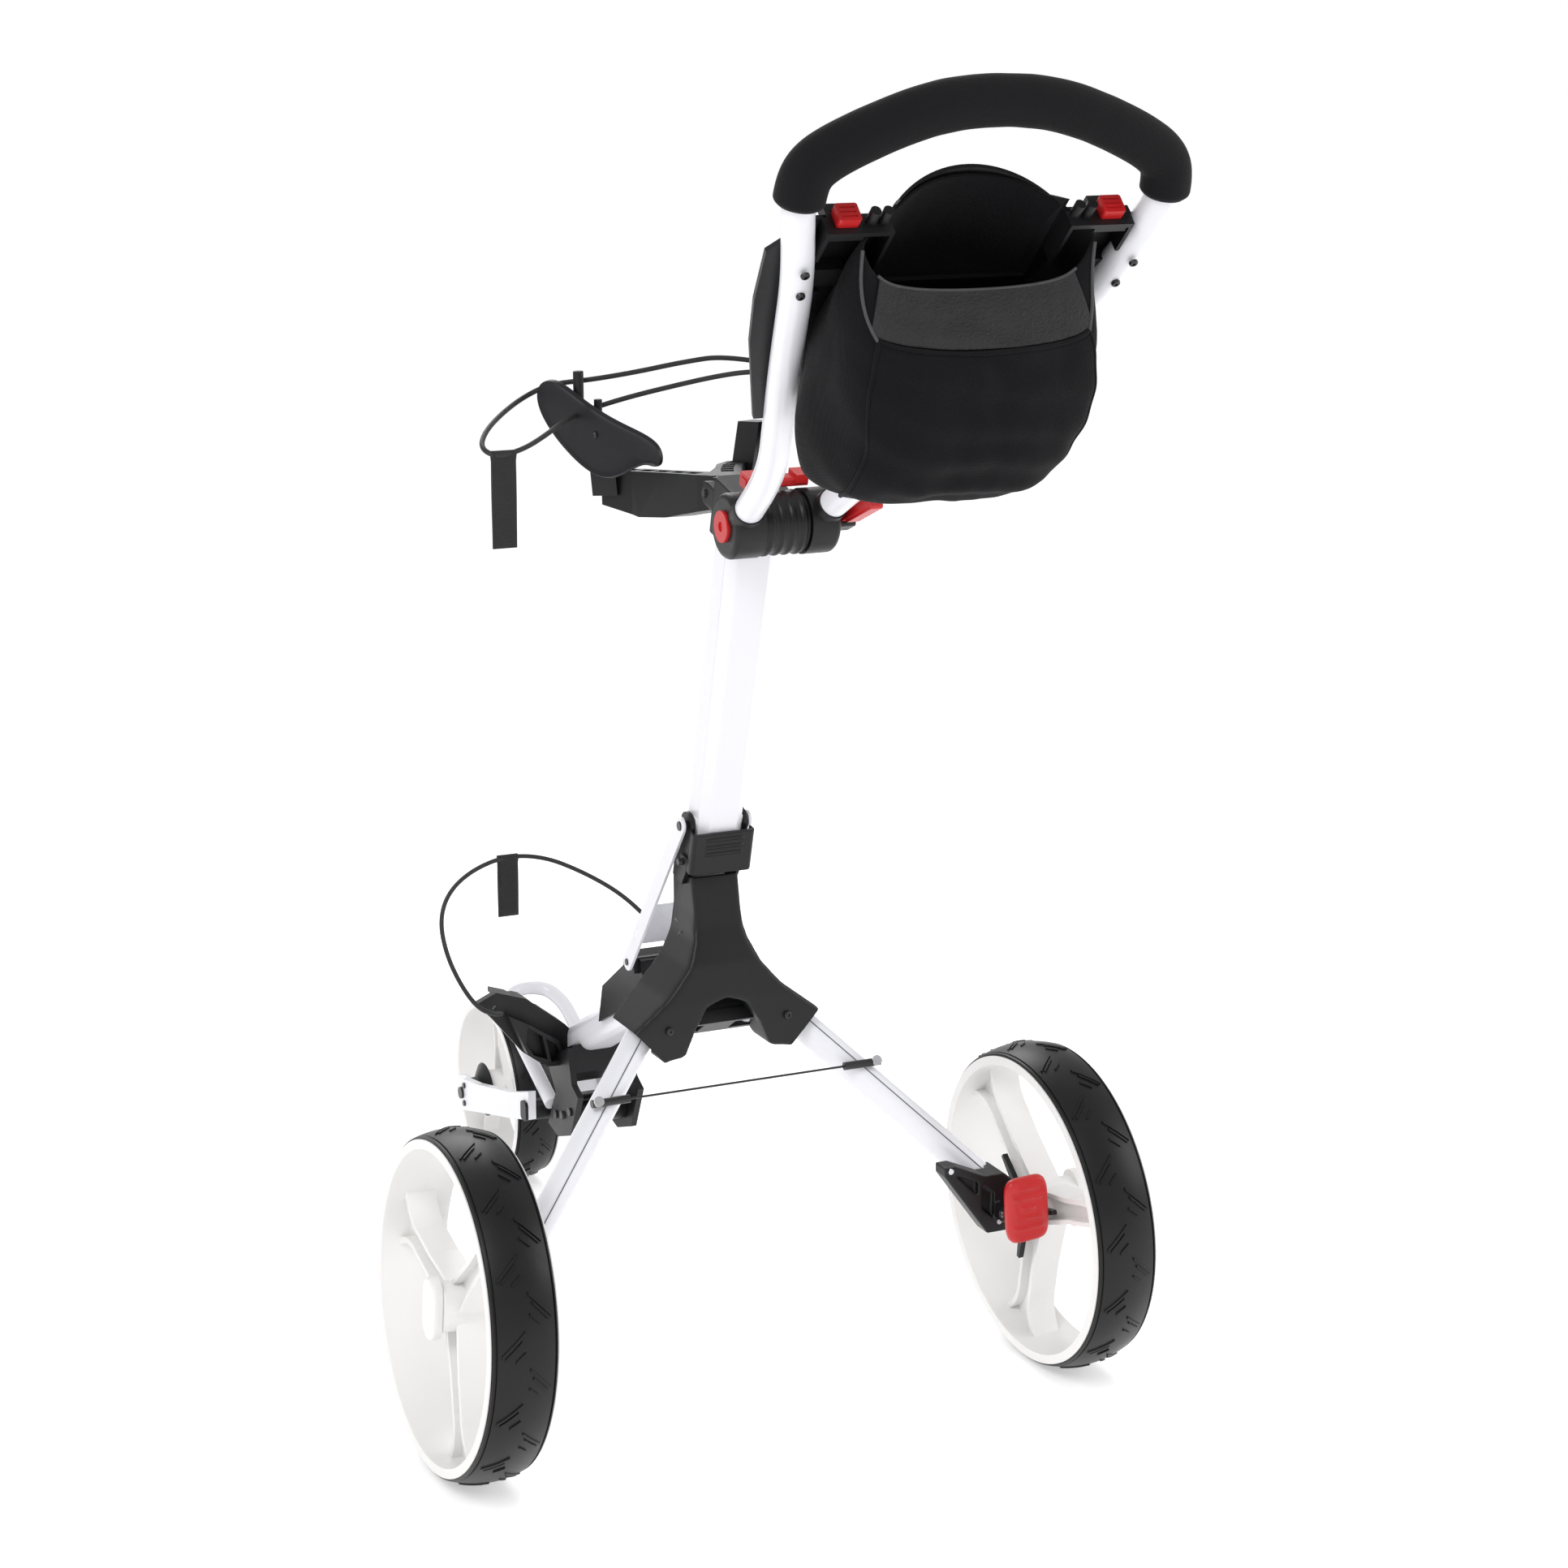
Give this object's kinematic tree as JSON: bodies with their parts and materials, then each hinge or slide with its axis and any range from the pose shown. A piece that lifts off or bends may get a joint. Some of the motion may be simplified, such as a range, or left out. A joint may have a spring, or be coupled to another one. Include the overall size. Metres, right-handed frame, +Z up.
{
  "type": "golf push trolley",
  "caption": "Folding three-wheeled push trolley: leaning mast with an arched foam handle and pouch, forked bag arm, splayed rear legs and a front wheel on a folding fork.",
  "frame": {"origin": "middle of the footprint, on the ground, measured without the elastic cords", "axes": "+Y is the travel direction, +X is the right-hand side, +Z is up"},
  "size_m": [0.6244, 1.1335, 1.1515],
  "materials": {
    "tyre_rubber": "moulded block tread",
    "white_plastic": "satin moulded",
    "white_paint": "satin powder coat",
    "steel": "plated",
    "cable_steel": "stranded, dark",
    "black_plastic": "fine moulded grain",
    "black_rubber": "soft moulded",
    "red_plastic": "satin moulded",
    "foam": "closed-cell foam",
    "pouch_fabric": "woven nylon",
    "cord_black": "braided sleeve",
    "webbing": "woven webbing"
  },
  "bodies": {
    "chassis": {"neck_tube": "white_paint", "pivot_ears": "black_plastic", "hub_cover": "black_plastic", "hub_block": "black_plastic", "front_tube": "white_paint", "front_stay": "white_paint", "stay_saddle": "black_plastic", "hinge_pins": "steel", "chassis_bolts": "steel", "fork_bracket": "black_plastic", "bag_rests": "black_plastic", "base_hoop": "white_paint", "lower_cord": "cord_black", "lower_tab": "webbing", "stay_cable": "cable_steel"},
    "leg_right": {"leg_tube_right": "white_paint", "axle_bracket_right": "black_plastic", "axle_stub_right": "steel", "leg_bolts_right": "steel"},
    "leg_left": {"leg_tube_left": "white_paint", "axle_bracket_left": "black_plastic", "axle_stub_left": "steel", "leg_bolts_left": "steel"},
    "brake_pedal": {"brake_pedal": "red_plastic"},
    "wheel_right": {"tyre_right": "tyre_rubber", "rim_right": "white_plastic", "wheel_bearings_right": "steel", "axle_cover_right": "white_plastic", "brake_star": "black_plastic"},
    "wheel_left": {"tyre_left": "tyre_rubber", "rim_left": "white_plastic", "wheel_bearings_left": "steel", "axle_cover_left": "white_plastic"},
    "wheel_front": {"tyre_front": "tyre_rubber", "rim_front": "white_plastic", "front_bearings": "steel"},
    "fork": {"fork_arms": "white_paint", "fork_yoke": "black_plastic", "front_axle": "steel", "front_hub_caps": "black_plastic"},
    "mast": {"mast_tube": "white_paint", "hinge_housing": "black_plastic", "bag_arm_pin": "steel"},
    "mast_latch": {"mast_latch": "black_plastic"},
    "lock_bar": {"lock_bar": "red_plastic"},
    "handle": {"handle_tube": "white_paint", "foam_grip": "foam", "handle_knuckles": "black_plastic", "hinge_shaft": "steel", "hinge_cap": "red_plastic", "lever_block": "black_plastic", "console": "black_plastic", "pouch": "pouch_fabric"},
    "clamp_lever": {"clamp_lever": "red_plastic"},
    "console_button_left": {"console_button_left": "red_plastic"},
    "console_button_right": {"console_button_right": "red_plastic"},
    "bag_arm": {"bag_arm": "black_plastic", "bag_pads": "black_rubber", "upper_cord": "cord_black", "upper_tab": "webbing"}
  },
  "joints": [
    {"name": "leg_right_fold", "type": "hinge", "parent": "chassis", "child": "leg_right", "pos_m": [0.036, -0.0543, 0.3314], "axis": [0, 0.8442, -0.5361], "range_deg": [0, 18], "deforming": ["stay_cable"]},
    {"name": "leg_left_fold", "type": "hinge", "parent": "chassis", "child": "leg_left", "pos_m": [-0.036, -0.0543, 0.3314], "axis": [0, 0.8442, -0.5361], "range_deg": [-18, 0]},
    {"name": "brake_pedal_tilt", "type": "hinge", "parent": "leg_right", "child": "brake_pedal", "pos_m": [0, -0.1994, 0.157], "axis": [1, 0, 0], "range_deg": [0, 15]},
    {"name": "wheel_right_spin", "type": "hinge", "parent": "leg_right", "child": "wheel_right", "pos_m": [0.2755, -0.1704, 0.1474], "axis": [0.9986, 0, 0.0523], "continuous": true},
    {"name": "wheel_left_spin", "type": "hinge", "parent": "leg_left", "child": "wheel_left", "pos_m": [-0.2755, -0.1704, 0.1474], "axis": [0.9986, 0, -0.0523], "continuous": true},
    {"name": "fork_fold", "type": "hinge", "parent": "chassis", "child": "fork", "pos_m": [0, 0.2246, 0.149], "axis": [1, 0, 0], "range_deg": [-120, 0]},
    {"name": "wheel_front_spin", "type": "hinge", "parent": "fork", "child": "wheel_front", "pos_m": [0, 0.4706, 0.096], "axis": [1, 0, 0], "continuous": true},
    {"name": "mast_fold", "type": "hinge", "parent": "chassis", "child": "mast", "pos_m": [0, -0.0584, 0.503], "axis": [1, 0, 0], "range_deg": [-95, 0]},
    {"name": "mast_latch_swing", "type": "hinge", "parent": "chassis", "child": "mast_latch", "pos_m": [0, -0.05608, 0.47053], "axis": [1, 0, 0], "range_deg": [0, 45]},
    {"name": "lock_bar_slide", "type": "slide", "parent": "mast", "child": "lock_bar", "axis": [1, 0, 0], "range_m": [-0.006, 0.006]},
    {"name": "handle_fold", "type": "hinge", "parent": "mast", "child": "handle", "pos_m": [0, -0.1854, 0.784], "axis": [1, 0, 0], "range_deg": [-28, 100]},
    {"name": "clamp_lever_swing", "type": "hinge", "parent": "handle", "child": "clamp_lever", "pos_m": [0.058, -0.1854, 0.784], "axis": [0, 0.3746, 0.9272], "range_deg": [0, 100]},
    {"name": "console_button_left_press", "type": "slide", "parent": "handle", "child": "console_button_left", "axis": [0, 0.7254, -0.6884], "range_m": [0, 0.003], "stiffness_N_per_m": 400},
    {"name": "console_button_right_press", "type": "slide", "parent": "handle", "child": "console_button_right", "axis": [0, 0.7254, -0.6884], "range_m": [0, 0.003], "stiffness_N_per_m": 400},
    {"name": "bag_arm_fold", "type": "hinge", "parent": "mast", "child": "bag_arm", "pos_m": [0, -0.09625, 0.79702], "axis": [1, 0, 0], "range_deg": [-65, 0]}
  ],
  "couplings": [
    {"joint": "leg_left_fold", "follows": "leg_right_fold", "ratio": -1}
  ]
}
